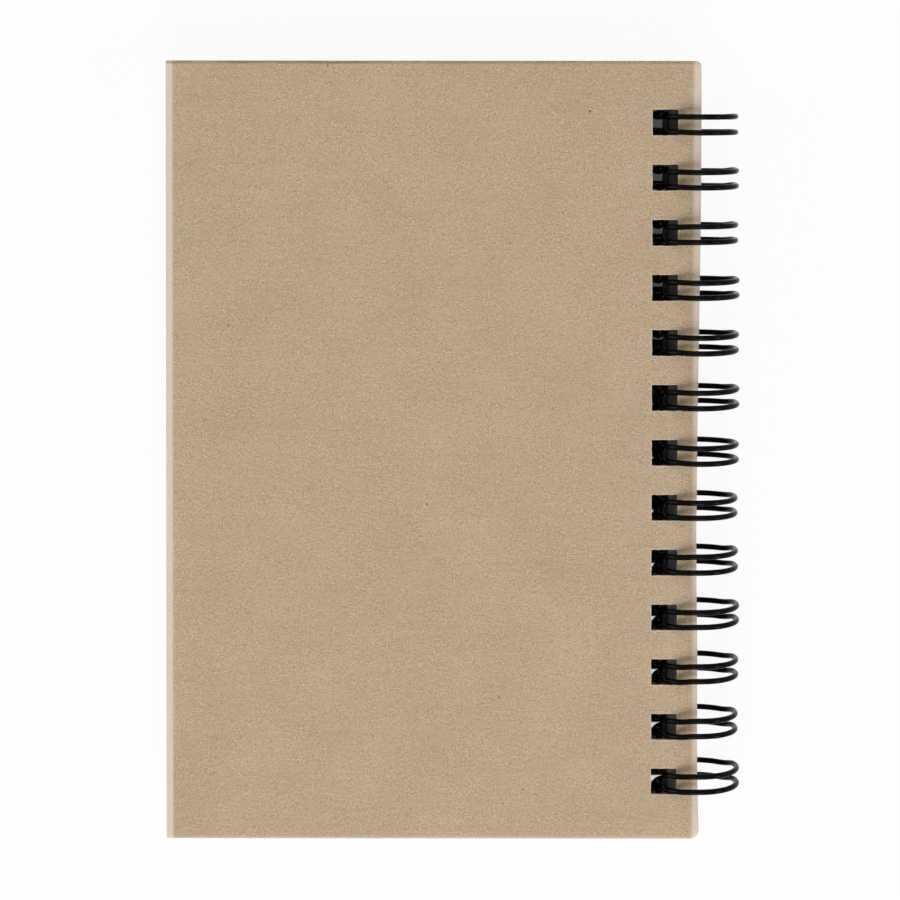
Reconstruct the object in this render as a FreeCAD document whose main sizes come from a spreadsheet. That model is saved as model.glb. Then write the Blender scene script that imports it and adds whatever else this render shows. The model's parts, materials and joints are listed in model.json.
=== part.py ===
"""A notebook bound with a twin-loop wire: two kraft boards, a block of sheets and one continuous wire.

The notebook lies closed with its back cover up. +X runs from the fore edge to the spine, +Y to the head
and +Z up. Each piece is drawn about the axis of the loops, and its placement then sets the whole notebook
down with the middle of its underside at the origin.
"""

import FreeCAD, Part
import math
import os

import Sketcher

Vector = FreeCAD.Vector

os.makedirs("parts", exist_ok=True)
doc = FreeCAD.newDocument("Notebook")

# Driving dimensions, in millimetres and degrees

SIZES = [
    ("cover_width", 123.0, "board, from its spine edge to its fore edge"),
    ("cover_height", 180.0, "board, from foot to head"),
    ("board_thickness", 1.5, "kraft board"),
    ("side_bevel_width", 1.3, "pressed bevel of each board's outer face at fore edge and spine, across the face"),
    ("side_bevel_depth", 0.5, "the same bevel, through the board"),
    ("end_bevel_width", 0.7, "pressed bevel at head and foot, across the face"),
    ("end_bevel_depth", 0.3, "the same bevel, through the board"),
    ("inner_round", 0.3, "rounding of the board's edges against the sheets"),
    ("head_corner_round", 1.1, "spine corner of each board at the head"),
    ("foot_corner_round", 1.9, "spine corner of each board at the foot"),
    ("spine_clearance", 0.15, "spine edge of the boards to the plane of the loops' axis"),
    ("hole_length", 6.0, "square punched hole, along the spine"),
    ("hole_depth", 6.0, "square punched hole, across the spine"),
    ("hole_count", 13, "holes, and loops of the wire"),
    ("hole_pitch", 12.7, "two holes to the inch"),
    ("row_offset", -0.4, "middle of the row of holes, from the boards' middle towards the head"),
    ("hole_clearance", 0.2, "loops to the spine side of the holes"),
    ("block_thickness", 11.0, "all sheets together"),
    ("fore_inset", 2.0, "sheets inside the boards at the fore edge"),
    ("end_inset", 2.0, "sheets inside the boards at head and foot"),
    ("block_clearance", 0.2, "outer sheets to the boards"),
    ("seam_flat", 6.0, "level part of the pressed sheets, beyond the root bars"),
    ("seam_ramp", 16.0, "sloped part of the pressed sheets"),
    ("wire_diameter", 1.3, "coated wire"),
    ("loop_radius", 9.5, "loops, to the middle of the wire"),
    ("loop_spacing", 3.5, "two wires of a pair, centre to centre"),
    ("loop_lean", 3.5, "lean of each loop out of the plane across the spine"),
    ("bend_reach", 1.5, "length that each bend takes from its runs"),
    ("bar_drop", 1.1, "root bars below the inner face of the board above"),
    ("bar_clearance", 0.3, "root bars to the sheets below"),
    ("tip_clearance", 0.4, "loop tips to the root bars"),
    ("end_stub", 1.2, "cut ends of the wire, beyond their last bends"),
    ("loop_runs", 22, "straight runs that each loop is drawn with"),
    ("bend_runs", 3, "straight runs that each bend is drawn with"),
]

sheet = doc.addObject("Spreadsheet::Sheet", "Sizes")
for row, (alias, value, meaning) in enumerate(SIZES, start=1):
    sheet.set(f"A{row}", meaning)
    sheet.set(f"B{row}", str(value))
    sheet.setAlias(f"B{row}", alias)
doc.recompute()

# Dimensions worked out from the driving ones: each is an expression on the cells above

WORKED = [
    ("board_inside", "Sizes.block_thickness / 2 + Sizes.block_clearance"),
    ("board_outside", "board_inside + Sizes.board_thickness"),
    ("loop_depth", "Sizes.loop_radius * cos(Sizes.loop_lean) + Sizes.wire_diameter / 2"),
    ("loop_bore", "Sizes.loop_radius * cos(Sizes.loop_lean) - Sizes.wire_diameter / 2"),
    ("board_spine", "-Sizes.spine_clearance"),
    ("board_fore", "board_spine - Sizes.cover_width"),
    ("board_hole", "Sizes.hole_clearance - sqrt(loop_bore ^ 2 - board_outside ^ 2)"),
    ("sheet_hole", "Sizes.hole_clearance - sqrt(loop_bore ^ 2 - Sizes.block_thickness ^ 2 / 4)"),
    ("block_spine", "sheet_hole + board_spine - board_hole"),
    ("block_fore", "board_fore + Sizes.fore_inset"),
    ("block_height", "Sizes.cover_height - 2 * Sizes.end_inset"),
    ("bar_height", "board_inside - Sizes.bar_drop - Sizes.wire_diameter / 2"),
    ("bar_radius", "sqrt(Sizes.loop_radius ^ 2 + Sizes.bend_reach ^ 2)"),
    ("bar_angle", "asin(bar_height / (bar_radius * cos(Sizes.loop_lean)))"),
    ("seam_height", "bar_height - Sizes.wire_diameter / 2 - Sizes.bar_clearance"),
    ("seam_edge", "-bar_radius * cos(bar_angle) - Sizes.seam_flat"),
    ("first_hole", "Sizes.hole_pitch * (Sizes.hole_count - 1) / 2 + Sizes.row_offset"),
    ("half_width", "(Sizes.cover_width + Sizes.spine_clearance - Sizes.loop_radius - Sizes.wire_diameter / 2) / 2"),
]

worked = doc.addObject("Spreadsheet::Sheet", "Worked")
for row, (alias, formula) in enumerate(WORKED, start=1):
    worked.set(f"A{row}", alias.replace("_", " "))
    worked.set(f"B{row}", "=" + formula)
    worked.setAlias(f"B{row}", alias)
    doc.recompute()


def size(alias):
    """The value of a driving or a worked dimension."""
    holder = sheet if alias in [entry[0] for entry in SIZES] else worked
    return float(getattr(holder, alias))


def set_down(piece):
    """Place a piece drawn about the loops' axis, so that the notebook stands on its underside's middle."""
    piece.setExpression("Placement.Base.x", "Worked.half_width")
    piece.setExpression("Placement.Base.z", "Worked.loop_depth")


def add_sketch(body, name, plane):
    """An empty sketch on one of the body's own origin planes."""
    sketch = body.newObject("Sketcher::SketchObject", name)
    origin_plane = next(feature for feature in body.Origin.OriginFeatures if feature.Role == plane)
    sketch.AttachmentSupport = [(origin_plane, "")]
    sketch.MapMode = "FlatFace"
    return sketch


def draw_polygon(sketch, corners):
    """A closed outline whose corners are pairs of expressions, each measured from the sketch's origin."""
    values = [tuple(evaluate(text) for text in corner) for corner in corners]
    points = [Vector(x, y, 0) for x, y in values]
    first, count = sketch.GeometryCount, len(points)
    for index, point in enumerate(points):
        sketch.addGeometry(Part.LineSegment(point, points[(index + 1) % count]), False)
    for index in range(count):
        after = first + (index + 1) % count
        sketch.addConstraint(Sketcher.Constraint("Coincident", first + index, 2, after, 1))
    for index, (corner, value) in enumerate(zip(corners, values)):
        for kind, text, number in zip(("DistanceX", "DistanceY"), corner, value):
            place = sketch.addConstraint(Sketcher.Constraint(kind, -1, 1, first + index, 1, number))
            sketch.setExpression(f"Constraints[{place}]", text)


def evaluate(text):
    """The present value of an expression on the two sheets."""
    return float(sheet.evalExpression(text))


def edges_of(feature, chosen):
    """The names of a feature's edges whose middle passes a test."""
    names = []
    for index, edge in enumerate(feature.Shape.Edges, start=1):
        middle = edge.valueAt((edge.FirstParameter + edge.LastParameter) / 2)
        if chosen(middle):
            names.append(f"Edge{index}")
    return names


def add_fillet(body, name, base, chosen, radius):
    """Round the edges of a feature that pass a test."""
    doc.recompute()
    fillet = body.newObject("PartDesign::Fillet", name)
    fillet.Base = (base, edges_of(base, chosen))
    fillet.setExpression("Radius", radius)
    doc.recompute()
    return fillet


def press_bevels(body, bevel, plane, low_side, high_side, side):
    """Press down the outer face along two opposite sides of a board: a wide, shallow bevel on each."""
    name = f"{body.Name}_{bevel}"
    sketch = add_sketch(body, name, plane)
    width, depth = f"Sizes.{bevel}_width", f"Sizes.{bevel}_depth"
    above = f"{side} * (Worked.board_outside + {depth})"
    under = f"{side} * (Worked.board_outside - 2 * {depth})"
    for edge, inward in ((low_side, "+"), (high_side, "-")):
        outward = "-" if inward == "+" else "+"
        inner = f"{edge} {inward} 2 * {width}"
        outer = f"{edge} {outward} {width}"
        draw_polygon(sketch, [(inner, above), (outer, above), (outer, under)])
    pocket = body.newObject("PartDesign::Pocket", name + "_press")
    pocket.Profile = sketch
    pocket.Type = "ThroughAll"
    pocket.Midplane = True
    doc.recompute()
    return pocket


def punch_holes(body, spine_side):
    """Cut the row of square holes: one pocket, then a pattern of it from head to foot."""
    sketch = add_sketch(body, body.Name + "_hole", "XY_Plane")
    fore_side = f"{spine_side} - Sizes.hole_depth"
    head_side = "Worked.first_hole + Sizes.hole_length / 2"
    foot_side = "Worked.first_hole - Sizes.hole_length / 2"
    corners = [(fore_side, foot_side), (spine_side, foot_side), (spine_side, head_side), (fore_side, head_side)]
    draw_polygon(sketch, corners)
    whole = body.Tip.Shape.Volume
    pocket = body.newObject("PartDesign::Pocket", body.Name + "_punch")
    pocket.Profile = sketch
    pocket.Type = "ThroughAll"
    pocket.Midplane = True
    doc.recompute()
    if pocket.Shape.Volume >= whole:
        raise RuntimeError(f"{body.Label}: the punched hole misses the board")
    pattern = body.newObject("PartDesign::LinearPattern", body.Name + "_holes")
    pattern.Originals = [pocket]
    pattern.Direction = (sketch, ["V_Axis"])
    pattern.Reversed = True
    pattern.setExpression("Occurrences", "Sizes.hole_count")
    pattern.setExpression("Length", "Sizes.hole_pitch * (Sizes.hole_count - 1)")
    body.Tip = pattern
    doc.recompute()


# Covers: two boards with rounded edges, the back one above the sheets and the front one below

NEAR = 0.01


def make_cover(name, below):
    """One board. The front cover is the back cover's mirror image below the sheets."""
    body = doc.addObject("PartDesign::Body", name)
    body.Label = name
    outline = add_sketch(body, name + "_outline", "XY_Plane")
    head, foot = "Sizes.cover_height / 2", "-Sizes.cover_height / 2"
    spine, fore = "Worked.board_spine", "Worked.board_fore"
    draw_polygon(outline, [(fore, foot), (spine, foot), (spine, head), (fore, head)])
    side = "-1" if below else "1"
    outline.setExpression("AttachmentOffset.Base.z", f"{side} * Worked.board_inside")
    board = body.newObject("PartDesign::Pad", name + "_board")
    board.Profile = outline
    board.Reversed = below
    board.setExpression("Length", "Sizes.board_thickness")
    half_height, spine_edge = size("cover_height") / 2, size("board_spine")
    inner_face = evaluate(side) * size("board_inside")

    def at_corner(point, end):
        return abs(point.x - spine_edge) < NEAR and abs(point.y - end * half_height) < NEAR

    at_head = add_fillet(body, name + "_head_corner", board, lambda point: at_corner(point, 1),
                         "Sizes.head_corner_round")
    add_fillet(body, name + "_foot_corner", at_head, lambda point: at_corner(point, -1),
               "Sizes.foot_corner_round")
    press_bevels(body, "side_bevel", "XZ_Plane", fore, spine, side)
    pressed = press_bevels(body, "end_bevel", "YZ_Plane", foot, head, side)
    add_fillet(body, name + "_inner_edges", pressed, lambda point: abs(point.z - inner_face) < NEAR,
               "Sizes.inner_round")
    punch_holes(body, "Worked.board_hole")
    set_down(body)
    return body


back_cover = make_cover("back_cover", below=False)
front_cover = make_cover("front_cover", below=True)

# Page block: all sheets as one solid, pressed down beside the spine where the wire's seam lies on them

page_block = doc.addObject("PartDesign::Body", "page_block")
page_block.Label = "page_block"
section = add_sketch(page_block, "page_block_section", "XZ_Plane")
top, bottom = "Sizes.block_thickness / 2", "-Sizes.block_thickness / 2"
draw_polygon(section, [
    ("Worked.block_fore", bottom),
    ("Worked.block_spine", bottom),
    ("Worked.block_spine", "Worked.seam_height"),
    ("Worked.seam_edge", "Worked.seam_height"),
    ("Worked.seam_edge - Sizes.seam_ramp", top),
    ("Worked.block_fore", top),
])
stack = page_block.newObject("PartDesign::Pad", "page_block_stack")
stack.Profile = section
stack.Midplane = True
stack.setExpression("Length", "Worked.block_height")
doc.recompute()
punch_holes(page_block, "Worked.sheet_hole")
set_down(page_block)

# Binding wire: one wire that runs round a loop to its tip, back round the loop beside it, and along a root
# bar to the next pair. Loops and bends are short straight runs with mitred joints, and the section is a
# hexagon inside the round wire, which keeps 26 loops light.

SECTION_SIDES = 6
RADIUS = size("loop_radius")
LEAN = math.radians(size("loop_lean"))
REACH = size("bend_reach")
REACH_ANGLE = math.atan2(REACH, RADIUS)
ROOT_ANGLE = math.pi - math.radians(size("bar_angle"))
TIP_STEP = 2 * math.asin((size("wire_diameter") + size("tip_clearance")) / 2 / size("bar_radius"))
TIP_ANGLE = ROOT_ANGLE - TIP_STEP + 2 * math.pi
FIRST_ANGLE = ROOT_ANGLE + REACH_ANGLE
LAST_ANGLE = TIP_ANGLE - REACH_ANGLE
FOOTWARD = Vector(0, -1, 0)


def loop_direction(angle):
    """The direction of a leaning loop at an angle, with the angle growing."""
    rise = math.cos(angle)
    return Vector(-math.sin(angle), -rise * math.sin(LEAN), rise * math.cos(LEAN))


def loop_point(along, angle, radius=RADIUS):
    """A point of the leaning loop whose centre is at the distance along the axis."""
    return Vector(0, along, 0) - loop_direction(angle + math.pi / 2) * radius


def loop_run(along, start, end):
    """The corners between two angles of a loop. Each run touches the true circle at its middle."""
    count = int(size("loop_runs"))
    step = (end - start) / count
    radius = RADIUS / math.cos(step / 2)
    return [loop_point(along, start + step * (number + 0.5), radius) for number in range(count)]


def bend_run(corner, inward, outward):
    """The corners of an arc that turns the inward direction into the outward one at a corner."""
    count = int(size("bend_runs"))
    turn = inward.getAngle(outward)
    radius = REACH / math.tan(turn / 2)
    across = (outward - inward * inward.dot(outward)).normalize()
    centre = corner - inward * REACH + across * radius
    points = []
    for number in range(count + 1):
        angle = turn * number / count
        points.append(centre + inward * math.sin(angle) * radius - across * math.cos(angle) * radius)
    return points


def wire_line():
    """The corners of the wire's centre line, from its cut end at the head to the one at the foot."""
    rising, returning = loop_direction(FIRST_ANGLE), -loop_direction(FIRST_ANGLE)
    reaching, leaving = loop_direction(LAST_ANGLE), -loop_direction(LAST_ANGLE)
    half_pair = size("loop_spacing") / 2
    line = []
    for number in range(int(size("hole_count"))):
        centre = size("first_hole") - number * size("hole_pitch")
        headward, footward = centre + half_pair, centre - half_pair
        root_start = loop_point(headward, FIRST_ANGLE) - rising * REACH
        root_end = loop_point(footward, FIRST_ANGLE) - rising * REACH
        tip_start = loop_point(headward, LAST_ANGLE) + reaching * REACH
        tip_end = loop_point(footward, LAST_ANGLE) + reaching * REACH
        if not line:
            line.append(root_start - FOOTWARD * (REACH + size("end_stub")))
        line += bend_run(root_start, FOOTWARD, rising)
        line += loop_run(headward, FIRST_ANGLE, LAST_ANGLE)
        line += bend_run(tip_start, reaching, FOOTWARD)
        line += bend_run(tip_end, FOOTWARD, leaving)
        line += loop_run(footward, LAST_ANGLE, FIRST_ANGLE)
        line += bend_run(root_end, returning, FOOTWARD)
    line.append(root_end + FOOTWARD * (REACH + size("end_stub")))
    return line


def mitred_sections(line):
    """The wire's outline at each corner of its centre line, on the plane that halves the turn."""
    runs = [(end - start).normalize() for start, end in zip(line, line[1:])]
    turns = [2 * math.pi * number / SECTION_SIDES for number in range(SECTION_SIDES)]
    half = size("wire_diameter") / 2
    outline = [line[0] + Vector(math.cos(turn), 0, math.sin(turn)) * half for turn in turns]
    sections = [outline]
    for corner, before, after in zip(line[1:], runs, runs[1:] + [runs[-1]]):
        facing = (before + after).normalize()
        outline = [point + before * ((corner - point).dot(facing) / before.dot(facing)) for point in outline]
        sections.append(outline)
    return sections


def wire_solid():
    """The wire as one solid of flat faces: its sides, run by run, and its two cut ends."""
    sections = mitred_sections(wire_line())
    faces = [flat_face(sections[0]), flat_face(sections[-1])]
    for near, far in zip(sections, sections[1:]):
        for side in range(SECTION_SIDES):
            after = (side + 1) % SECTION_SIDES
            faces.append(flat_face([near[side], near[after], far[after], far[side]]))
    shell = Part.makeShell(faces)
    shell.sewShape()
    solid = Part.makeSolid(shell)
    if solid.Volume < 0:
        solid.reverse()
    return solid


def flat_face(corners):
    return Part.Face(Part.makePolygon(corners + corners[:1]))


binding_wire = doc.addObject("Part::Feature", "binding_wire")
binding_wire.Label = "binding_wire"
binding_wire.Shape = wire_solid()
set_down(binding_wire)
doc.recompute()

# Each piece is checked, then written under its own name

for item in doc.Objects:
    if "Invalid" in item.State or "Error" in item.State:
        raise RuntimeError(f"{item.Label} failed: {item.State}")

for piece in (back_cover, front_cover, page_block, binding_wire):
    shape = piece.Shape
    if shape.isNull() or not shape.isValid() or len(shape.Solids) != 1:
        raise RuntimeError(f"{piece.Label} is not one valid solid")
    shape.exportStep(f"parts/{piece.Label}.step")
    box = shape.optimalBoundingBox(False, False)
    print(f"{piece.Label}: {box.XLength:.2f} x {box.YLength:.2f} x {box.ZLength:.2f} mm, {shape.Volume:.0f} mm3")
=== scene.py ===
# %% [markdown]
# A kraft notebook on a twin-loop wire
#
# This lesson dresses a small notebook: two boards of unprinted kraft, a block of plain sheets, and one black
# wire bent into thirteen pairs of loops. The construction model is loaded first and never moved, and every
# piece made here is placed from it.

# %% The frame and the lesson's tools
import json
import math
import random

import bmesh
import bpy
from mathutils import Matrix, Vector


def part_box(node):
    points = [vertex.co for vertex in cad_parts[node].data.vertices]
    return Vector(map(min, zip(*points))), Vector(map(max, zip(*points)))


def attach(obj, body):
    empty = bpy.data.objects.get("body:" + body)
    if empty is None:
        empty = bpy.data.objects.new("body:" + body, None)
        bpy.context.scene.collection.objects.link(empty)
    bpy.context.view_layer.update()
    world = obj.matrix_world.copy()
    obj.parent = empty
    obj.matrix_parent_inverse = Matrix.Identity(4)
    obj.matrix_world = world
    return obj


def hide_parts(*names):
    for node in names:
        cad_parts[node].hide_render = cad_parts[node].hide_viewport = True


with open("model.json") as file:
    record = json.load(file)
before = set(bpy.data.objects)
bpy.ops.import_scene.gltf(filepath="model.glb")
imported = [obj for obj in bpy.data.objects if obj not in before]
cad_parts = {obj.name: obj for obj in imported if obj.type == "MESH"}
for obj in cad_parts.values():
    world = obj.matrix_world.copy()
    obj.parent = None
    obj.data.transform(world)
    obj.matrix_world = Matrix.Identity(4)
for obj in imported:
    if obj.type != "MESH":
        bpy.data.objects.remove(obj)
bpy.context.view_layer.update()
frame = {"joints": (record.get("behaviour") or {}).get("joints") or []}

# %% [markdown]
# Sizes. Blender works in metres here, and a stationer works in millimetres, so every size is written in
# millimetres times MM. What the construction model knows is read from its boxes. What it keeps to itself,
# such as the wire's gauge, is written again as a real size.

# %% Sizes
MM = 0.001

back_low, back_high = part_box("back_cover")
front_low, front_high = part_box("front_cover")
block_low, block_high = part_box("page_block")
wire_low, wire_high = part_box("binding_wire")

WIRE_DIAMETER = 1.3 * MM
LOOP_RADIUS = 9.5 * MM
LOOP_SPACING = 3.5 * MM
LOOP_LEAN = math.radians(3.5)
HOLE_COUNT = 13
HOLE_PITCH = 12.7 * MM
HOLE_SIZE = 6.0 * MM
ROW_OFFSET = -0.4 * MM
HOLE_RIM = 4.766 * MM
BEND_REACH = 1.5 * MM

hinge = frame["joints"][0]["pos_m"]
AXIS = Vector((hinge[0], 0, hinge[2]))
hole_centres = [ROW_OFFSET + HOLE_PITCH * (HOLE_COUNT - 1) / 2 - HOLE_PITCH * k for k in range(HOLE_COUNT)]
BOARD_HOLE_SPINE = back_high.x - HOLE_RIM
SHEET_HOLE_SPINE = block_high.x - HOLE_RIM
print(f"board {(back_high.x - back_low.x) / MM:.1f} x {(back_high.y - back_low.y) / MM:.1f} mm")
print(f"loops' axis at x {AXIS.x / MM:.1f}, z {AXIS.z / MM:.1f} mm")
print(f"wire {(wire_high.z - wire_low.z) / MM:.1f} mm over the loops")

# %% [markdown]
# The camera. The notebook was seen from nearly straight above, from about five times its width, so the loops
# open a little towards the foot and hardly at all at the head. The eye stood above the upper half of the
# board, which a small tilt and a small lens shift give together.

# %% The camera
SENSOR = 36.0
LENS = 112.75
EYE_PLACE = Vector((-1.06, 36.57, 667.7)) * MM
EYE_TILT = math.radians(1.37)
EYE_ROLL = math.radians(0.06)
EYE_SHIFT = -0.10

camera_data = bpy.data.cameras.new("eye")
camera = bpy.data.objects.new("eye", camera_data)
bpy.context.scene.collection.objects.link(camera)
camera_data.sensor_width = SENSOR
camera_data.lens = LENS
camera_data.shift_y = EYE_SHIFT
camera_data.clip_start = 10 * MM
camera.location = EYE_PLACE
camera.rotation_euler = (-EYE_TILT, 0, EYE_ROLL)
bpy.context.scene.camera = camera
print(f"width seen at the board {SENSOR / LENS * (EYE_PLACE.z - back_high.z) / MM:.0f} mm")

# %% [markdown]
# Two helpers for materials. Colours are chosen as sRGB hex values, and a shader wants linear light,
# so one function turns the one into the other. The second adds a node, sets it and links it in one call,
# which keeps a material readable from top to bottom.

# %% Helpers for materials
def linear(hex_colour):
    """An sRGB hex colour as the linear values that a shader takes."""
    channels = [int(hex_colour[place:place + 2], 16) / 255 for place in (1, 3, 5)]
    return [c / 12.92 if c <= 0.04045 else ((c + 0.055) / 1.055) ** 2.4 for c in channels] + [1.0]


def add_node(tree, kind, inputs=None, **settings):
    """A node with its settings, and with each input given a value or linked to a socket."""
    node = tree.nodes.new(kind)
    for name, value in settings.items():
        setattr(node, name, value)
    for name, value in (inputs or {}).items():
        if isinstance(value, bpy.types.NodeSocket):
            tree.links.new(value, node.inputs[name])
        else:
            node.inputs[name].default_value = value
    return node


def new_material(name):
    """An empty material, its node tree, its shader and its output."""
    material = bpy.data.materials.new(name)
    material.use_nodes = True
    tree = material.node_tree
    tree.nodes.clear()
    shader = add_node(tree, "ShaderNodeBsdfPrincipled")
    add_node(tree, "ShaderNodeOutputMaterial", {"Surface": shader.outputs["BSDF"]})
    return material, tree, shader


def per(length):
    """A texture's scale for a feature of this length, because patterns are laid out in metres."""
    return 1 / length


# %% [markdown]
# Kraft board. Unbleached kraft is brown wood pulp, pressed on a felt and left uncoated. Close up it is a
# mottle of pale and dark fibres about a third of a millimetre across, stronger in some patches than in
# others, with faint streaks along the machine's run, soft clouds where the pulp lay thicker, and now and then
# a speck of bark. Each of these is one pattern at its own real size, and their sum picks a colour between a
# dark and a pale kraft.

# %% Kraft board
MOTTLE = 0.36 * MM
STRAND = (1.7 * MM, 0.26 * MM)
STREAK = (22 * MM, 1.4 * MM)
PATCH = 2.6 * MM
CLOUD = 14 * MM
BLUSH = 5 * MM
SPECK_SPACING, SPECK_RADIUS = 21 * MM, 0.27 * MM
FLECK_SPACING, FLECK_RADIUS = 4.5 * MM, 0.19 * MM


def noise(tree, vector, size=1.0, detail=2.0):
    """Soft noise whose features are about this size."""
    made = add_node(tree, "ShaderNodeTexNoise", {"Vector": vector, "Scale": per(size), "Detail": detail})
    return made.outputs["Fac"]


def strands(tree, vector, size, turn):
    """Noise drawn out into strands of a length and a width, at a turn in degrees."""
    across = add_node(tree, "ShaderNodeMapping", {
        "Vector": vector, "Rotation": (0, 0, math.radians(turn)),
        "Scale": (per(size[0]), per(size[1]), per(size[1]))})
    return noise(tree, across.outputs["Vector"], detail=1.0)


def spread(tree, value, low, high, to_low=0.0, to_high=1.0):
    """A value between two limits, spread evenly between two others."""
    made = add_node(tree, "ShaderNodeMapRange", {
        "Value": value, "From Min": low, "From Max": high, "To Min": to_low, "To Max": to_high})
    return made.outputs["Result"]


def combine(tree, how, *values):
    """Values joined one after the other by one operation of maths."""
    result = values[0]
    for value in values[1:]:
        result = add_node(tree, "ShaderNodeMath", {0: result, 1: value}, operation=how).outputs["Value"]
    return result


def from_holes(tree, along, shift=0.0):
    """How far a place lies, along the spine, from the middle of the nearest hole or from a line beside it."""
    last_hole = (HOLE_COUNT - 1) / 2 * HOLE_PITCH
    steps = combine(tree, "SUBTRACT", along, ROW_OFFSET + shift)
    past_last = combine(tree, "SUBTRACT", combine(tree, "ABSOLUTE", steps, 0), last_hole)
    return combine(tree, "MAXIMUM", combine(tree, "PINGPONG", steps, HOLE_PITCH / 2), past_last)


def tint(tree, amount, below, above):
    """One colour laid over another."""
    laid = add_node(tree, "ShaderNodeMixRGB", {"Fac": amount, "Color1": below, "Color2": above})
    return laid.outputs["Color"]


def spots(tree, vector, spacing, radius, share):
    """Spots on a share of the cells of a loose grid, each a little different in size."""
    cells = add_node(tree, "ShaderNodeTexVoronoi", {"Vector": vector, "Scale": per(spacing)},
                     voronoi_dimensions="2D")
    chance = add_node(tree, "ShaderNodeSeparateColor", {"Color": cells.outputs["Color"]})
    reach = spread(tree, chance.outputs["Green"], 0, 1, 0.5 * radius / spacing, radius / spacing)
    inside = combine(tree, "DIVIDE", cells.outputs["Distance"], reach)
    kept = combine(tree, "LESS_THAN", chance.outputs["Red"], share)
    return combine(tree, "MULTIPLY", spread(tree, inside, 0.7, 1.2, 1, 0), kept)


# %% [markdown]
# Wear and painted light on the boards. The rim of each board is paler than its face: plainly so at the fore
# edge and the spine, less at the foot. Part of this is wear from pressing and handling, and part is painted
# sheen, where the lamps at the sides and the foot catch the pressed bevels. At the head a thin brown line
# that comes and goes along the ridge is painted shade, for the shadow in a shallow crease there. Both follow
# the distance from the board's sides, which the material works out from the place, and a little noise frays
# them.
# Each hole has a narrow pale burr round it, on the outer face alone, where the punch tore the top ply.

# %% Wear and painted light on the boards
PRESSED_WIDTH = 1.3 * MM
RIM_FADE = 0.55 * MM
SPINE_RIM, SPINE_RIM_FADE = 0.75 * MM, 0.9 * MM
FOOT_RIM = 0.1 * MM
# How pale each side's rim is: partly wear, partly painted sheen, following where the lamps stand.
FORE_WEAR_AND_SHEEN, SPINE_WEAR_AND_SHEEN, FOOT_WEAR_AND_SHEEN = 0.95, 1.0, 0.40
RIDGE_PLACE = 0.45 * MM
# Painted shade: the strength of the dark line that stands for the shadow in a crease at the head.
CREASE_SHADE_STRENGTH = 0.50
BURR_WIDTH, BURR_END, BURR_STRENGTH = 0.10 * MM, 0.32 * MM, 0.45
KRAFT_DARK = "#A58E75"
KRAFT_MIDDLE = "#B9A388"
KRAFT_PALE = "#CDB89D"
# The pale colour of the rim, part wear and part painted sheen, and of the torn burr round the holes.
KRAFT_WORN_AND_SHEEN = "#DDCAB8"


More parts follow.
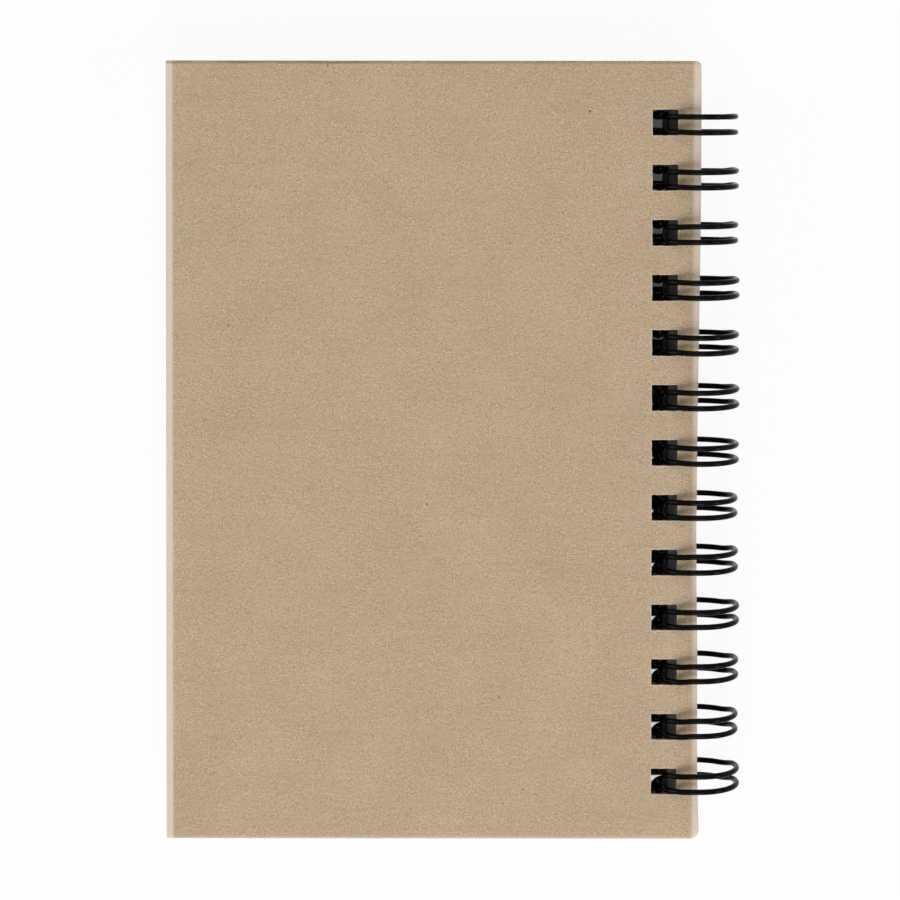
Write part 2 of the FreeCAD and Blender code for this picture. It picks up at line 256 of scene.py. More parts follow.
def kraft(name, seed, low, high, up):
    """Kraft board with its pale rim, part wear and part painted sheen, and painted crease shade at the head,
    for a board between two corners whose outer face looks up or down.
    """
    material, tree, shader = new_material(name)
    place = add_node(tree, "ShaderNodeTexCoord").outputs["Object"]
    spot = add_node(tree, "ShaderNodeMapping", {
        "Vector": place, "Location": (seed, 0.5 * seed, 0)}).outputs["Vector"]
    mottle = noise(tree, spot, MOTTLE, 2.0)
    patches = spread(tree, noise(tree, spot, PATCH, 1.0), 0.35, 0.65, 0.6, 1.4)
    grain = combine(tree, "MULTIPLY", spread(tree, mottle, 0.28, 0.72, -0.52, 0.52), patches)
    pale = [spread(tree, strands(tree, spot, STRAND, turn), 0.58, 0.74, 0, 0.17) for turn in (12, 74, -44)]
    dark = [spread(tree, strands(tree, spot, STRAND, turn), 0.60, 0.76, 0, -0.17) for turn in (-14, 49, -71)]
    tone = combine(
        tree, "ADD", 0.5, grain, *pale, *dark,
        spread(tree, noise(tree, spot, CLOUD), 0.3, 0.7, -0.08, 0.08),
        spread(tree, strands(tree, spot, STREAK, 0), 0.3, 0.7, -0.03, 0.03))
    ramp = add_node(tree, "ShaderNodeValToRGB", {"Fac": tone})
    ramp.color_ramp.elements[0].color = linear(KRAFT_DARK)
    ramp.color_ramp.elements[1].color = linear(KRAFT_PALE)
    ramp.color_ramp.elements.new(0.5).color = linear(KRAFT_MIDDLE)
    bark = combine(tree, "MAXIMUM", spots(tree, spot, SPECK_SPACING, SPECK_RADIUS, 0.3), spread(
        tree, spots(tree, spot, FLECK_SPACING, FLECK_RADIUS, 0.25), 0, 1, 0, 0.30))
    blush = spread(tree, noise(tree, spot, BLUSH, 5.0), 0.35, 0.65)
    mixed = add_node(tree, "ShaderNodeMixRGB", {
        "Fac": 1.0, "Color1": ramp.outputs["Color"],
        "Color2": tint(tree, blush, linear("#FCFFFB"), linear("#FFFCFE"))}, blend_type="MULTIPLY")
    face = tint(tree, bark, mixed.outputs["Color"], linear("#6B573F"))

    across = add_node(tree, "ShaderNodeSeparateXYZ", {"Vector": place}).outputs
    fray = spread(tree, mottle, 0.25, 0.75, -0.25 * MM, 0.25 * MM)

    def rim(side, inward, reach, strength, fade):
        """The pale rim along one side, part wear and part painted sheen, given as its place and the way in
        from it.
        """
        away = combine(tree, "ADD", combine(tree, "MULTIPLY", combine(tree, "SUBTRACT", side, inward[0]),
                                            inward[1]), fray)
        return spread(tree, away, reach, reach + fade, strength, 0)

    # Painted sheen: the pale rim stands partly for wear and partly for the lamps' highlight on the pressed
    # bevels, so it is strongest at the fore edge and the spine, weaker at the foot and absent at the head.
    sides = combine(
        tree, "MAXIMUM",
        rim(across["X"], (low.x, 1), PRESSED_WIDTH, FORE_WEAR_AND_SHEEN, RIM_FADE),
        rim(across["X"], (high.x, -1), SPINE_RIM, SPINE_WEAR_AND_SHEEN, SPINE_RIM_FADE),
        rim(across["Y"], (low.y, 1), FOOT_RIM, FOOT_WEAR_AND_SHEEN, RIM_FADE))
    height = combine(tree, "MULTIPLY", combine(tree, "SUBTRACT", across["Z"], (low.z + high.z) / 2), up)
    outer = spread(tree, height, -0.4 * MM, 0)
    on_face = spread(tree, height, 0.66 * MM, 0.72 * MM)
    worn_and_sheen_rim = tint(tree, combine(tree, "MULTIPLY", sides, outer), face, linear(KRAFT_WORN_AND_SHEEN))

    # Painted shade: a thin brown line along the head's ridge, coming and going and fading out towards the
    # spine, stands for the shadow in a shallow crease that the board's shape doesn't have.
    stray = spread(tree, mottle, 0.3, 0.7, -0.2 * MM, 0.2 * MM)
    ridge = combine(tree, "ABSOLUTE", combine(
        tree, "ADD", combine(tree, "SUBTRACT", across["Y"], high.y - RIDGE_PLACE), stray), 0)
    comes = spread(tree, noise(tree, spot, 12 * MM, 3.0), 0.42, 0.62, 1, 0.25)
    fades = spread(tree, across["X"], low.x + 40 * MM, low.x + 95 * MM, 1, 0.1)
    line = spread(tree, ridge, 0.12 * MM, 0.42 * MM, CREASE_SHADE_STRENGTH, 0)
    painted_crease_shade = combine(tree, "MULTIPLY", line, comes, fades, outer)
    from_hole = combine(
        tree, "MAXIMUM",
        combine(tree, "SUBTRACT", from_holes(tree, across["Y"]), HOLE_SIZE / 2),
        combine(tree, "SUBTRACT", across["X"], BOARD_HOLE_SPINE),
        combine(tree, "SUBTRACT", BOARD_HOLE_SPINE - HOLE_SIZE, across["X"]))
    torn = spread(tree, from_hole, BURR_WIDTH, BURR_END, BURR_STRENGTH, 0)
    burr = combine(tree, "MULTIPLY", torn, on_face)
    # The brown here is the painted crease shade at the head; the pale burr is the torn top ply.
    shaded = tint(tree, burr, tint(tree, painted_crease_shade, worn_and_sheen_rim, linear("#6F5A43")), linear(KRAFT_WORN_AND_SHEEN))

    relief = combine(tree, "ADD", mottle, *pale)
    bump = add_node(tree, "ShaderNodeBump", {"Height": relief, "Strength": 0.3, "Distance": 0.03 * MM})
    tree.links.new(shaded, shader.inputs["Base Color"])
    tree.links.new(bump.outputs["Normal"], shader.inputs["Normal"])
    tree.links.new(spread(tree, mottle, 0.3, 0.7, 0.96, 0.88), shader.inputs["Roughness"])
    shader.inputs["Specular IOR Level"].default_value = 0.2
    return material


back_kraft = kraft("kraft_board_back", 0.137, back_low, back_high, 1)
front_kraft = kraft("kraft_board_front", 0.291, front_low, front_high, -1)

# %% [markdown]
# Uncoated paper. The sheets are plain offset paper of about 90 g: a warm white, quite matt, with hardly any
# mottle. Where the stack is seen edge on, every sheet was cut by the same blade but none is quite the same
# grey, so the tone changes from sheet to sheet with the height in the stack. Round its holes the paper has
# painted shade, a dark grey for the deep shadow inside the holes: far on the spine side and only a little to
# the others, and darkest at the head, away from the main lamp at the foot, which is how dark it looks through
# the holes of the boards.

# %% Uncoated paper
SHEET_STEP = 0.110 * MM
LAYER_LENGTH = 250 * MM
# Painted shade round the holes: how far it reaches, how it fades, and its strength at the foot and the head.
HOLE_SHADE_REACH = 2.1 * MM
HOLE_SHADE_FADE = 0.6 * MM
END_FALL, FORE_FALL = 3.0, 6.0
HOLE_SHADE_AT_FOOT, HOLE_SHADE_AT_HEAD = 0.86, 0.98


def offset_paper():
    """Uncoated white paper, with painted shade round the punched holes."""
    material, tree, shader = new_material("uncoated_offset_paper")
    place = add_node(tree, "ShaderNodeTexCoord").outputs["Object"]
    pulp = noise(tree, place, 0.6 * MM, 3.0)
    layers = add_node(tree, "ShaderNodeMapping", {
        "Vector": place, "Scale": (per(LAYER_LENGTH), per(LAYER_LENGTH), per(SHEET_STEP))})
    sheet_tone = noise(tree, layers.outputs["Vector"], detail=1.0)
    tone = spread(tree, combine(tree, "ADD", pulp, sheet_tone), 0.7, 1.3)
    paper_white = tint(tree, tone, linear("#E4DFD4"), linear("#F6F3EC"))

    across = add_node(tree, "ShaderNodeSeparateXYZ", {"Vector": place}).outputs
    from_ends = combine(tree, "MULTIPLY", combine(
        tree, "SUBTRACT", from_holes(tree, across["Y"]), HOLE_SIZE / 2), END_FALL)
    from_spine = combine(tree, "SUBTRACT", across["X"], SHEET_HOLE_SPINE)
    from_fore = combine(tree, "MULTIPLY", combine(
        tree, "SUBTRACT", SHEET_HOLE_SPINE - HOLE_SIZE, across["X"]), FORE_FALL)
    away = combine(tree, "MAXIMUM", from_ends, from_spine, from_fore)
    # Painted shade: the paper round each hole is tinted dark grey for the shadow inside the holes, a little
    # darker towards the head.
    shade_edge = combine(tree, "ADD", away, spread(tree, pulp, 0.3, 0.7, -0.3 * MM, 0.3 * MM))
    shade_along_spine = spread(tree, across["Y"], -76 * MM, 76 * MM, HOLE_SHADE_AT_FOOT, HOLE_SHADE_AT_HEAD)
    hole_shade_mask = spread(tree, shade_edge, HOLE_SHADE_REACH, HOLE_SHADE_REACH + HOLE_SHADE_FADE, 1, 0)
    coat_tone_and_painted_shade = combine(tree, "MULTIPLY", hole_shade_mask, shade_along_spine)
    colour = tint(tree, coat_tone_and_painted_shade, paper_white, linear("#58545C"))
    bump = add_node(tree, "ShaderNodeBump", {"Height": pulp, "Strength": 0.15, "Distance": 0.02 * MM})
    tree.links.new(colour, shader.inputs["Base Color"])
    tree.links.new(bump.outputs["Normal"], shader.inputs["Normal"])
    shader.inputs["Roughness"].default_value = 0.88
    shader.inputs["Specular IOR Level"].default_value = 0.3
    return material


paper = offset_paper()

# %% [markdown]
# Coated wire. Binding wire is mild steel drawn to gauge and coated with black nylon before it is formed. The
# coat is glossy, not a mirror: its surface has a faint orange peel, and its black and its gloss vary a touch
# from place to place. The steel itself never shows, so this is a plastic and not a metal.

# %% Coated wire
ORANGE_PEEL = 0.5 * MM


def nylon_coat():
    """Glossy black nylon on steel wire."""
    material, tree, shader = new_material("black_nylon_coated_wire")
    place = add_node(tree, "ShaderNodeTexCoord").outputs["Object"]
    peel = noise(tree, place, ORANGE_PEEL)
    coat_tone_and_painted_shade = noise(tree, place, 4 * MM, 3.0)
    bump = add_node(tree, "ShaderNodeBump", {"Height": peel, "Strength": 0.3, "Distance": 0.02 * MM})
    tree.links.new(tint(tree, coat_tone_and_painted_shade, linear("#010101"), linear("#080809")), shader.inputs["Base Color"])
    tree.links.new(spread(tree, coat_tone_and_painted_shade, 0.35, 0.65, 0.13, 0.21), shader.inputs["Roughness"])
    tree.links.new(bump.outputs["Normal"], shader.inputs["Normal"])
    shader.inputs["IOR"].default_value = 1.45
    shader.inputs["Specular IOR Level"].default_value = 0.06
    return material


wire_coat = nylon_coat()

# %% [markdown]
# Helpers for modelling. Operators act on whatever is selected, so each piece starts with nothing selected,
# and edges or faces are then picked in code by where they lie. A finished piece keeps its place in its mesh
# and its object at the origin.

# %% Helpers for modelling
def alone(piece):
    """Select one object and make it the active one."""
    bpy.ops.object.select_all(action="DESELECT")
    piece.select_set(True)
    bpy.context.view_layer.objects.active = piece


def pick(piece, kind, chosen):
    """In edit mode, select the edges or faces whose middle passes a test."""
    bpy.ops.mesh.select_mode(type=kind)
    bpy.ops.mesh.select_all(action="DESELECT")
    mesh = bmesh.from_edit_mesh(piece.data)
    for element in {"EDGE": mesh.edges, "FACE": mesh.faces}[kind]:
        middle = sum((vertex.co for vertex in element.verts), Vector()) / len(element.verts)
        if chosen(middle):
            element.select_set(True)
    mesh.select_flush_mode()
    bmesh.update_edit_mesh(piece.data)


def settle(piece):
    """Put a finished piece's place into its mesh."""
    alone(piece)
    bpy.ops.object.transform_apply(location=True, rotation=True, scale=True)


def apply_modifier(piece, kind, **settings):
    """Add a modifier with its settings and apply it."""
    alone(piece)
    modifier = piece.modifiers.new(kind.lower(), kind)
    for name, value in settings.items():
        setattr(modifier, name, value)
    bpy.ops.object.modifier_apply(modifier=modifier.name)


def box_of(name, low, high):
    """A box between two corners."""
    bpy.ops.mesh.primitive_cube_add(size=1, location=(low + high) / 2)
    piece = bpy.context.active_object
    piece.name = name
    piece.scale = high - low
    settle(piece)
    return piece


# %% [markdown]
# The row of holes. One die punches every hole of a board or a sheet at once, so one set of square punches is
# made here, to be cut out of each piece with a boolean. A boolean is right for this: the punch and the board
# are both plain closed solids, and the walls of the holes come out straight. Thick board tears a little where
# paper doesn't, so for the boards the punches' sides are divided and each upright line moved by a hair.

# %% The row of punches
RAGGED = 0.05 * MM


def punches(name, spine_side, low, high, ragged):
    """Thirteen square punches, side by side along the spine, that pass right through a piece."""
    reach = 2 * MM
    parts = []
    for centre in hole_centres:
        corner_low = Vector((spine_side - HOLE_SIZE, centre - HOLE_SIZE / 2, low - reach))
        corner_high = Vector((spine_side, centre + HOLE_SIZE / 2, high + reach))
        parts.append(box_of(name, corner_low, corner_high))
    alone(parts[0])
    for part in parts[1:]:
        part.select_set(True)
    bpy.ops.object.join()
    die = bpy.context.active_object
    if ragged:
        bpy.ops.object.mode_set(mode="EDIT")
        bpy.ops.mesh.select_all(action="SELECT")
        bpy.ops.mesh.subdivide(number_cuts=7)
        bpy.ops.object.mode_set(mode="OBJECT")
        play = random.Random(11)
        offsets = {}
        for vertex in die.data.vertices:
            column = (round(vertex.co.x / MM, 2), round(vertex.co.y / MM, 2))
            if column not in offsets:
                offsets[column] = Vector((play.uniform(-1, 1), play.uniform(-1, 1), 0)) * RAGGED
            vertex.co += offsets[column]
    return die


def punch_out(piece, spine_side, low, high, ragged=False):
    """Cut the row of holes out of a piece, with the torn fibres' uneven edge if it is ragged."""
    die = punches(piece.name + "_die", spine_side, low, high, ragged)
    apply_modifier(piece, "BOOLEAN", operation="DIFFERENCE", object=die, solver="EXACT")
    bpy.data.objects.remove(die)


# %% [markdown]
# The boards. A die cuts each board from kraft and presses a shallow bevel along its edges, wide at the fore
# edge and the spine, narrow at head and foot. The two spine corners are rounded, the foot's more than
# the head's. The board starts as a box. Its outer face is inset, the rim is pushed down and out to the
# bevels' real widths, and only then are the corners rounded, together with the mitre lines that run into
# them, because an inset wider than a rounded corner would cross over itself. A last fine bevel takes the
# sharpness off every edge, because no paper edge is a perfect line.

# %% The boards
SIDE_DEPTH = 0.5 * MM
END_WIDTH, END_DEPTH = 0.7 * MM, 0.3 * MM
SOFT_EDGE = 0.28 * MM
HEAD_CORNER = 1.1 * MM
FOOT_CORNER = 1.9 * MM
NEAR = 0.01 * MM


def board(name, low, high, up):
    """A kraft board with a pressed rim on its outer face, which is its top if up is 1, else its underside."""
    piece = box_of(name, low, high)
    outer = high.z if up > 0 else low.z
    alone(piece)
    bpy.ops.object.mode_set(mode="EDIT")
    pick(piece, "FACE", lambda middle: abs(middle.z - outer) < NEAR)
    bpy.ops.mesh.inset(thickness=PRESSED_WIDTH)
    mesh = bmesh.from_edit_mesh(piece.data)
    for vertex in mesh.verts:
        if abs(vertex.co.z - outer) > NEAR:
            continue
        at_side = min(abs(vertex.co.x - low.x), abs(vertex.co.x - high.x)) < NEAR
        if at_side:
            vertex.co.z -= up * (SIDE_DEPTH + END_DEPTH) / 2
        else:
            end = high.y if vertex.co.y > 0 else low.y
            vertex.co.y = end - math.copysign(END_WIDTH, end)
    bmesh.update_edit_mesh(piece.data)
    for end, radius in ((high.y, HEAD_CORNER), (low.y, FOOT_CORNER)):
        reach = PRESSED_WIDTH * 0.75
        pick(piece, "EDGE", lambda middle: max(abs(middle.x - high.x), abs(middle.y - end)) < reach)
        bpy.ops.mesh.bevel(offset=radius, segments=8, affect="EDGES")
    bpy.ops.mesh.select_all(action="SELECT")
    bpy.ops.mesh.normals_make_consistent(inside=False)
    bpy.ops.object.mode_set(mode="OBJECT")
    apply_modifier(piece, "BEVEL", width=SOFT_EDGE, segments=3, limit_method="ANGLE",
                   angle_limit=math.radians(15))
    punch_out(piece, BOARD_HOLE_SPINE, low.z, high.z, ragged=True)
    return piece


back_board = board("back_board", back_low, back_high, 1)
front_board = board("front_board", front_low, front_high, -1)
print("board faces", len(back_board.data.polygons), len(front_board.data.polygons))

# %% [markdown]
# A spine edge that isn't quite straight. The strip between the holes and the spine gives way to the loops and
# to the hand, so this back board stands out by half a millimetre towards the head, draws in by a third just
# below the middle, and flares again at the foot. Cuts across the board give the strip points to bend at, and
# each moves by the line's value at its place, worn down to nothing at the holes. The front board draws in
# where the back one stands out, so that the two still pass each other when one of them is folded right round.

# %% The line of the spine edge
SPINE_LINE = [(-90, 0.50), (-84, 0.26), (-78, 0.06), (-68, -0.05), (-45, -0.06), (-34, -0.26),
              (-20, -0.35), (0, -0.22), (18, 0.0), (43, 0.33), (60, 0.52), (80, 0.55), (90, 0.49)]
FREE_STAND = 0.20 * MM
CUTS = [-86, -82, -77, -70, -58, -46, -40, -33, -20, -8, 5, 18, 31, 43, 56, 68, 81]


def eased(share):
    """A share between 0 and 1 that starts and ends gently."""
    share = min(max(share, 0), 1)
    return share * share * (3 - 2 * share)


def spine_line(place):
    """How far the spine edge stands out at a place along it."""
    for (start, before), (end, after) in zip(SPINE_LINE, SPINE_LINE[1:]):
        if place <= end * MM:
            return (before + (after - before) * eased((place / MM - start) / (end - start))) * MM
    return SPINE_LINE[-1][1] * MM


def bend_spine(piece, line):
    """Give a board the cuts to bend at, and move its spine edge by a line of offsets."""
    alone(piece)
    bpy.ops.object.mode_set(mode="EDIT")
    for cut in CUTS:
        bpy.ops.mesh.select_all(action="SELECT")
        bpy.ops.mesh.bisect(plane_co=(0, cut * MM, 0), plane_no=(0, 1, 0))
    bpy.ops.object.mode_set(mode="OBJECT")
    for vertex in piece.data.vertices:
        vertex.co.x += max(vertex.co.x - BOARD_HOLE_SPINE, 0) / HOLE_RIM * line(vertex.co.y)


bend_spine(back_board, spine_line)
bend_spine(front_board, lambda place: min(FREE_STAND - spine_line(place), 0))
for piece in (back_board, front_board):
    alone(piece)
    bpy.ops.object.shade_smooth_by_angle(angle=math.radians(30))
    apply_modifier(piece, "WEIGHTED_NORMAL", keep_sharp=True)

# %% The boards' finish and their bodies
for piece, finish in ((back_board, back_kraft), (front_board, front_kraft)):
    piece.data.materials.clear()
    piece.data.materials.append(finish)

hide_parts("back_cover")
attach(back_board, "back_cover")
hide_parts("front_cover")
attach(front_board, "front_cover")

# %% [markdown]
# The sheets. A notebook of this thickness holds about a hundred sheets. Each is a thin closed solid with its
# own row of holes, so their edges show as real layers from the side. One sheet is modelled with the steps
# that its bend needs, and then copied up the stack. Beside the spine the upper sheets are pressed down,
# because the seam of the wire lies on them, and each sheet lies a hair out of line with the next.

# %% The sheets
SHEET_COUNT = 100
SHEET_THICKNESS = 0.100 * MM
SEAM_DIP = 2.5 * MM
SEAM_START = block_high.x - 28.82 * MM
SEAM_END = block_high.x - 12.82 * MM
SHEET_PLAY = 0.12 * MM
BEND_STEPS = 8


def pressed(place):
    """The height of a point of the stack once the seam has pressed the sheets down."""
    lift = (place.z - block_low.z) / (block_high.z - block_low.z)
    return place.z - SEAM_DIP * eased((place.x - SEAM_START) / (SEAM_END - SEAM_START)) * lift


def one_sheet():
    """A flat sheet with its holes, cut across where it has to bend."""
    top = Vector((block_high.x, block_high.y, block_low.z + SHEET_THICKNESS))
    piece = box_of("sheets", block_low, top)
    punch_out(piece, SHEET_HOLE_SPINE, block_low.z, top.z)
    alone(piece)
    bpy.ops.object.mode_set(mode="EDIT")
    for step in range(BEND_STEPS + 1):
        place = SEAM_START + (SEAM_END - SEAM_START) * step / BEND_STEPS
        bpy.ops.mesh.select_all(action="SELECT")
        bpy.ops.mesh.bisect(plane_co=(place, 0, 0), plane_no=(1, 0, 0))
    bpy.ops.object.mode_set(mode="OBJECT")
    return piece


def stack_of(sheet):
    """The whole block, made by laying copies of one sheet on each other."""
    play = random.Random(7)
    step = (block_high.z - block_low.z) / SHEET_COUNT
    whole = bmesh.new()
    for number in range(SHEET_COUNT):
        first = len(whole.verts)
        whole.from_mesh(sheet.data)
        whole.verts.ensure_lookup_table()
        slip = Vector((play.uniform(-1, 0), play.uniform(-1, 1), 0)) * SHEET_PLAY
        inside = 1 if 0 < number < SHEET_COUNT - 1 else 0
        for vertex in whole.verts[first:]:
            vertex.co += slip * inside + Vector((0, 0, step * number))
            vertex.co.z = pressed(vertex.co)
    whole.to_mesh(sheet.data)
    whole.free()


sheets = one_sheet()
stack_of(sheets)
sheets.data.materials.clear()
sheets.data.materials.append(paper)
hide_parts("page_block")
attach(sheets, "bound_block")
print("sheets", SHEET_COUNT, "with", len(sheets.data.polygons), "faces")

# %% [markdown]
# The binding wire. A machine bends one straight wire into a comb of narrow fingers, and then rolls the
# fingers into loops until their tips meet the roots. Here a ring of sixteen points stands for the wire's
# section. It is spun round the loop's axis, round each small bend and extruded along the straight bits, just
# as the wire runs, and each finger is then welded to the next at its root bar. Spin turns clockwise as one
# looks along its axis towards the eye, so the axes below point the other way from the right-hand rule.
#
# No two pairs of loops stand quite alike. Each was closed by the machine and then handled, so it has a shift
# along the spine, a lean, a spread between its two wires and a push towards the axis, in millimetres, found
# by comparing with the notebook. They fade out near the holes and low on the loops, and the first pair's
# shift is less than was found, so that the holes of a cover that is folded over still clear the wire.

# %% The binding wire
SECTION_POINTS = 16
BAR_DROP = 1.1 * MM
TIP_CLEARANCE = 0.4 * MM
LOOP_STEPS = 72
BEND_STEPS_WIRE = 7
END_STUB = 1.2 * MM

half_pair = LOOP_SPACING / 2
half_wire = WIRE_DIAMETER / 2
bar_height = back_low.z - AXIS.z - BAR_DROP - half_wire
bar_radius = math.hypot(LOOP_RADIUS, BEND_REACH)
reach_angle = math.atan2(BEND_REACH, LOOP_RADIUS)
root_angle = math.pi - math.asin(bar_height / (bar_radius * math.cos(LOOP_LEAN)))
tip_step = 2 * math.asin((WIRE_DIAMETER + TIP_CLEARANCE) / 2 / bar_radius)
first_angle = root_angle + reach_angle
last_angle = root_angle - tip_step + 2 * math.pi - reach_angle
loop_normal = Vector((0, math.cos(LOOP_LEAN), math.sin(LOOP_LEAN)))


def loop_direction(angle):
    """The direction of a leaning loop at an angle, with the angle growing."""
    rise = math.cos(angle)
    return Vector((-math.sin(angle), -rise * math.sin(LOOP_LEAN), rise * math.cos(LOOP_LEAN)))


def loop_place(along, angle):
    """A point of the leaning loop whose centre is at the distance along the spine."""
    return AXIS + Vector((0, along, 0)) - loop_direction(angle + math.pi / 2) * LOOP_RADIUS


def spin_bend(corner, inward, outward):
    """Spin the open end round the bend that turns one direction into the other."""
    turn = inward.angle(outward)
    radius = BEND_REACH / math.tan(turn / 2)
    across = (outward - inward * inward.dot(outward)).normalized()
    centre = corner - inward * BEND_REACH + across * radius
    bpy.ops.mesh.spin(steps=BEND_STEPS_WIRE, angle=turn, center=centre, axis=across.cross(inward))


def run_on(direction, length):
    """Extrude the open end along a straight bit."""
    bpy.ops.mesh.extrude_region_move(TRANSFORM_OT_translate={"value": direction * length})


def finger(along, next_along):
    """One pair of loops: from half-way along its root bar, round to the tip and back to the next bar."""
    headward, footward = along + half_pair, along - half_pair
    foot = Vector((0, -1, 0))
    rising, reaching = loop_direction(first_angle), loop_direction(last_angle)
    root_start = loop_place(headward, first_angle) - rising * BEND_REACH
    root_end = loop_place(footward, first_angle) - rising * BEND_REACH
    tip_start = loop_place(headward, last_angle) + reaching * BEND_REACH
    tip_end = loop_place(footward, last_angle) + reaching * BEND_REACH
    half_bar = (HOLE_PITCH - LOOP_SPACING) / 2 - BEND_REACH
    lead = END_STUB if along == hole_centres[0] else half_bar
    tail = END_STUB if next_along is None else half_bar
    start = root_start - foot * (BEND_REACH + lead)
    bpy.ops.mesh.primitive_circle_add(
        vertices=SECTION_POINTS, radius=half_wire, location=start, rotation=(math.pi / 2, 0, 0),
        fill_type="NOTHING")
    piece = bpy.context.active_object
    piece.name = "wire_finger"
    settle(piece)
    bpy.ops.object.mode_set(mode="EDIT")
    bpy.ops.mesh.select_all(action="SELECT")
    sweep = last_angle - first_angle
    head_centre, foot_centre = (AXIS + Vector((0, place, 0)) for place in (headward, footward))
    run_on(foot, lead)
    spin_bend(root_start, foot, rising)
    bpy.ops.mesh.spin(steps=LOOP_STEPS, angle=sweep, center=head_centre, axis=loop_normal)
    spin_bend(tip_start, reaching, foot)
    run_on(foot, LOOP_SPACING - 2 * BEND_REACH)
    spin_bend(tip_end, foot, -reaching)
    bpy.ops.mesh.spin(steps=LOOP_STEPS, angle=-sweep, center=foot_centre, axis=loop_normal)
    spin_bend(root_end, -rising, foot)
    run_on(foot, tail)
    bpy.ops.object.mode_set(mode="OBJECT")
    return piece


def whole_wire():
    """All fingers, welded into one wire with closed ends."""
    fingers = [finger(along, after) for along, after in zip(hole_centres, hole_centres[1:] + [None])]
    alone(fingers[0])
    for part in fingers[1:]:
        part.select_set(True)
    bpy.ops.object.join()
    piece = bpy.context.active_object
    piece.name = "looped_wire"
    bpy.ops.object.mode_set(mode="EDIT")
    bpy.ops.mesh.select_all(action="SELECT")
    bpy.ops.mesh.remove_doubles(threshold=0.01 * MM)
    bpy.ops.mesh.select_mode(type="EDGE")
    bpy.ops.mesh.select_all(action="DESELECT")
    bpy.ops.mesh.select_non_manifold()
    bpy.ops.mesh.edge_face_add()
    bpy.ops.mesh.select_all(action="SELECT")
    bpy.ops.mesh.normals_make_consistent(inside=False)
    bpy.ops.object.mode_set(mode="OBJECT")
    return piece


PAIR_SHIFT = [0.05, 0.25, 0.32, 0.23, 0.22, 0.27, 0.04, 0.26, 0.45, 0.53, 0.54, 0.57, 0.55]
PAIR_LEAN = [0.16, 0.35, 0.19, 0.32, 0.32, 0.31, 0.17, 0.19, 0.21, 0.30, 0.13, 0.12, 0.29]
PAIR_SPREAD = [0.12, 0.0, 0.10, -0.05, 0.10, 0.06, 0.04, -0.04, 0.18, -0.10, -0.08, 0.02, 0.06]
PAIR_PUSH = [0.55, 0.38, 0.49, 0.16, 0.25, 0.12, 0.20, 0.43, 0.31, 0.03, 0.17, 0.27, -0.05]
FREE_FROM, FREE_AT = BOARD_HOLE_SPINE - 1.0 * MM, BOARD_HOLE_SPINE + 4.5 * MM
HELD_BELOW, FREE_RISE = -0.75, 0.5


def set_by_hand(piece):
    """Let each pair of loops stand a little out of line, where it is free of the holes."""
    for vertex in piece.data.vertices:
        place = vertex.co
        pair = min(range(HOLE_COUNT), key=lambda number: abs(hole_centres[number] - place.y))
        height = (place.z - AXIS.z) / LOOP_RADIUS
        outward = max(place.x - AXIS.x, 0) / LOOP_RADIUS
        free_across = eased((place.x - FREE_FROM) / (FREE_AT - FREE_FROM))
        free = free_across * eased((height - HELD_BELOW) / FREE_RISE)
        middle = hole_centres[pair] - (place.z - AXIS.z) * math.tan(LOOP_LEAN)
        side = 1 if place.y > middle else -1
        stray = PAIR_SHIFT[pair] - PAIR_LEAN[pair] * height + PAIR_SPREAD[pair] * side / 2
        place.y += free * MM * stray
        place.x -= outward * outward * PAIR_PUSH[pair] * MM


wire = whole_wire()
set_by_hand(wire)
wire.data.materials.clear()
wire.data.materials.append(wire_coat)
alone(wire)
bpy.ops.object.shade_smooth_by_angle(angle=math.radians(40))
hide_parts("binding_wire")
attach(wire, "bound_block")
print("wire faces", len(wire.data.polygons))

# %% [markdown]
# The floor. The notebook lies on its loops and on the fore edge of its lower board, a little over a degree
# out of level with the floor. The construction model keeps the notebook level, so it is the floor that leans:
# a large plane touches the loops' underside and that edge. Outside the boards it is white to the camera,
# with a little of the notebook's soft shadow left in. Under them it is plain matt paint, with painted shade
# below the row of holes: a dark grey strip that stands for the shadow there. On that strip narrow strips of
# light are painted, as white glow to the camera: a faint one towards the head, and a white one towards the
# foot, where the eye looks in between the loops at a slant.

# %% The floor
FLOOR_SIDE = 4.0
SHADOW_KEPT = 0.08
STRIP_PLACE = 3.8 * MM
STRIP_INNER, STRIP_OUTER = 2.6 * MM, 3.4 * MM
STRIP_END, STRIP_PAST = 83 * MM, 85 * MM
# Painted light: the narrow white strips painted on the floor under the holes.
PAINTED_BEAM_SOFTNESS = 0.12 * MM
PAINTED_FOOT_BEAM, PAINTED_HEAD_BEAM = -2.1 * MM, 0.8 * MM
HEAD_LEVEL = 0.07

loop_bottom = Vector((AXIS.x, 0, AXIS.z - LOOP_RADIUS * math.cos(LOOP_LEAN) - half_wire))
fore_bottom = Vector((front_low.x, 0, front_low.z + SIDE_DEPTH))
floor_lean = math.atan2(fore_bottom.z - loop_bottom.z, loop_bottom.x - fore_bottom.x)
floor_middle = (loop_bottom + fore_bottom) / 2 - Vector((0, 0, 0.05 * MM))

bpy.ops.object.select_all(action="DESELECT")
bpy.ops.mesh.primitive_plane_add(size=FLOOR_SIDE, location=floor_middle, rotation=(0, floor_lean, 0))
floor = bpy.context.active_object
floor.name = "studio_floor"

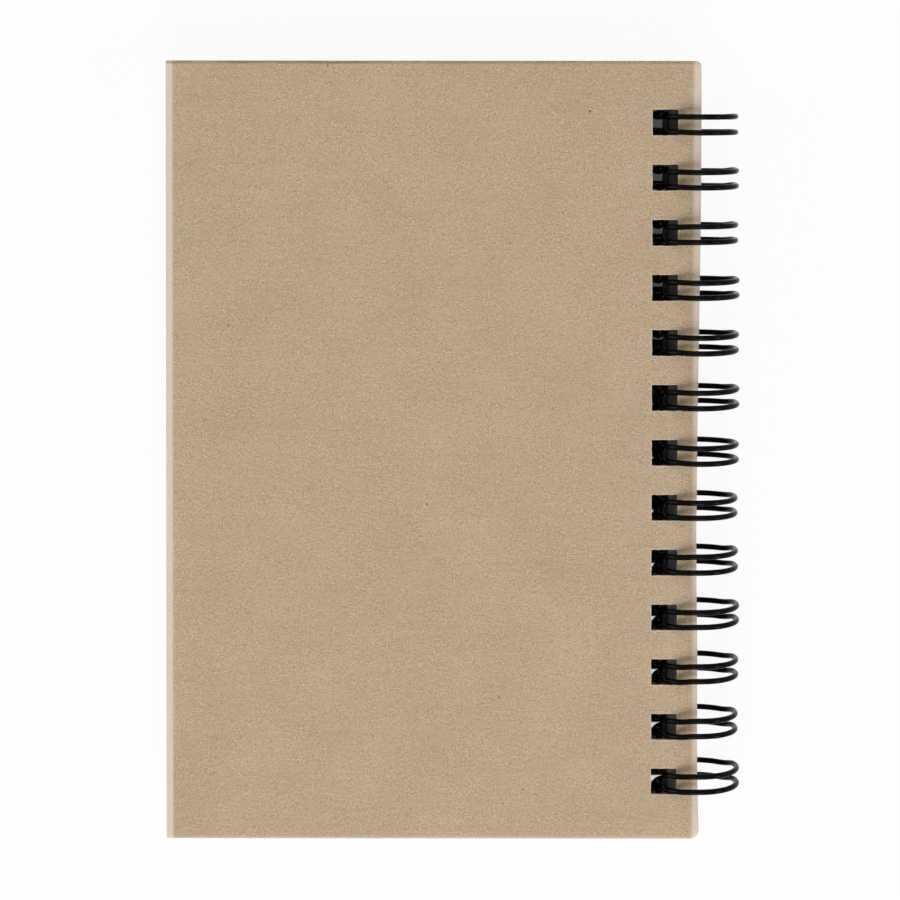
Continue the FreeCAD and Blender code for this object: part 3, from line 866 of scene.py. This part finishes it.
floor_paint = bpy.data.materials.new("white_studio_floor")
floor_paint.use_nodes = True
floor_tree = floor_paint.node_tree
floor_tree.nodes.clear()
floor_place = add_node(floor_tree, "ShaderNodeTexCoord").outputs["Object"]
floor_across = add_node(floor_tree, "ShaderNodeSeparateXYZ", {"Vector": floor_place}).outputs
half_length = (back_high.y - back_low.y) / 2
half_width = (back_high.x - back_low.x) / 2
under_x = combine(floor_tree, "SUBTRACT", combine(floor_tree, "ABSOLUTE", combine(
    floor_tree, "SUBTRACT", floor_across["X"], (back_low.x + back_high.x) / 2 - floor_middle.x), 0),
    half_width)
under_y = combine(floor_tree, "SUBTRACT", combine(
    floor_tree, "ABSOLUTE", floor_across["Y"], 0), half_length)
beyond = spread(floor_tree, combine(floor_tree, "MAXIMUM", under_x, under_y), -3 * MM, -1 * MM)
hole_line = BOARD_HOLE_SPINE - STRIP_PLACE - floor_middle.x
# Painted shade and painted light: the strip of floor under the row of holes, dark in the matt paint and
# carrying the painted beams.
under_holes_painted_strip = combine(
    floor_tree, "MULTIPLY",
    spread(floor_tree, combine(floor_tree, "ABSOLUTE", combine(
        floor_tree, "SUBTRACT", floor_across["X"], hole_line), 0), STRIP_INNER, STRIP_OUTER, 1, 0),
    spread(floor_tree, combine(floor_tree, "ABSOLUTE", floor_across["Y"], 0), STRIP_END, STRIP_PAST, 1, 0))


def painted_beam(offset, reach, level):
    """Painted light beside each hole, a white glow to the camera, by its distance from the hole, its half
    width and its strength.
    """
    away = combine(floor_tree, "SUBTRACT", from_holes(floor_tree, floor_across["Y"], offset), reach)
    lit = spread(floor_tree, away, -PAINTED_BEAM_SOFTNESS, PAINTED_BEAM_SOFTNESS, 1, 0)
    return combine(floor_tree, "MULTIPLY", lit, level, under_holes_painted_strip)


# Painted light: a white strip towards the foot and a faint one towards the head.
foot_width = spread(floor_tree, floor_across["Y"], 25 * MM, -77 * MM, 0, 0.65 * MM)
foot_level = spread(floor_tree, floor_across["Y"], 30 * MM, -20 * MM, 0.15, 0.70)
painted_foot_beam = painted_beam(PAINTED_FOOT_BEAM, foot_width, foot_level)
head_width = spread(floor_tree, floor_across["Y"], 10 * MM, 76 * MM, 0, 1.0 * MM)
painted_head_beam = painted_beam(PAINTED_HEAD_BEAM, head_width, HEAD_LEVEL)
white_floor_and_painted_beams = combine(floor_tree, "MAXIMUM", beyond, painted_foot_beam, painted_head_beam)
# Painted shade: the matt paint is dark grey along the strip under the holes.
matt = add_node(floor_tree, "ShaderNodeBsdfDiffuse", {
    "Color": tint(floor_tree, under_holes_painted_strip, linear("#F4F4F4"), linear("#404040"))})
glow = add_node(floor_tree, "ShaderNodeEmission", {"Color": linear("#FFFFFF"), "Strength": 1.0})
ray = add_node(floor_tree, "ShaderNodeLightPath").outputs
watched = combine(floor_tree, "MAXIMUM", ray["Is Camera Ray"], ray["Is Glossy Ray"],
                  ray["Is Transmission Ray"])
white = combine(floor_tree, "MULTIPLY", watched, white_floor_and_painted_beams, 1 - SHADOW_KEPT)
mixed = add_node(floor_tree, "ShaderNodeMixShader", {
    "Fac": white, 1: matt.outputs["BSDF"], 2: glow.outputs["Emission"]})
add_node(floor_tree, "ShaderNodeOutputMaterial", {"Surface": mixed.outputs["Shader"]})
floor.data.materials.append(floor_paint)

# %% [markdown]
# The light. A tabletop photographer lights paper with broad, soft lamps so that its fibres show but do not
# glare. The main one stands beyond the foot of the notebook and throws the loops' soft shadows towards the
# head, where a weak one answers it. Two lower ones at the sides catch the pressed edges, and an even white
# surround fills the rest.

# %% The light
def softbox(name, place, size, power):
    """A square lamp at a place in metres, turned to face the notebook."""
    data = bpy.data.lights.new(name, "AREA")
    data.shape = "SQUARE"
    data.size = size
    data.energy = power
    lamp = bpy.data.objects.new(name, data)
    bpy.context.scene.collection.objects.link(lamp)
    lamp.location = place
    lamp.rotation_euler = Vector(place).to_track_quat("Z", "Y").to_euler()


softbox("foot_light", (0.10, -1.40, 1.30), 1.00, 21.3)
softbox("fore_light", (-1.20, 0.10, 0.50), 0.50, 5.3)
softbox("spine_light", (1.20, -0.45, 0.75), 0.30, 5.6)
softbox("head_light", (0.0, 1.30, 0.80), 0.60, 3.7)

world = bpy.data.worlds.new("white_surround")
bpy.context.scene.world = world
world.use_nodes = True
world.node_tree.nodes.clear()
surround = add_node(world.node_tree, "ShaderNodeBackground", {"Color": linear("#FFFFFF"), "Strength": 0.29})
seen_white = add_node(world.node_tree, "ShaderNodeBackground", {"Color": linear("#FFFFFF"), "Strength": 1.0})
world_ray = add_node(world.node_tree, "ShaderNodeLightPath").outputs
seen = combine(world.node_tree, "MAXIMUM", world_ray["Is Camera Ray"], world_ray["Is Glossy Ray"],
               world_ray["Is Transmission Ray"])
sky = add_node(world.node_tree, "ShaderNodeMixShader", {
    "Fac": seen, 1: surround.outputs["Background"], 2: seen_white.outputs["Background"]})
add_node(world.node_tree, "ShaderNodeOutputWorld", {"Surface": sky.outputs["Shader"]})
bpy.context.scene.view_settings.view_transform = "Standard"
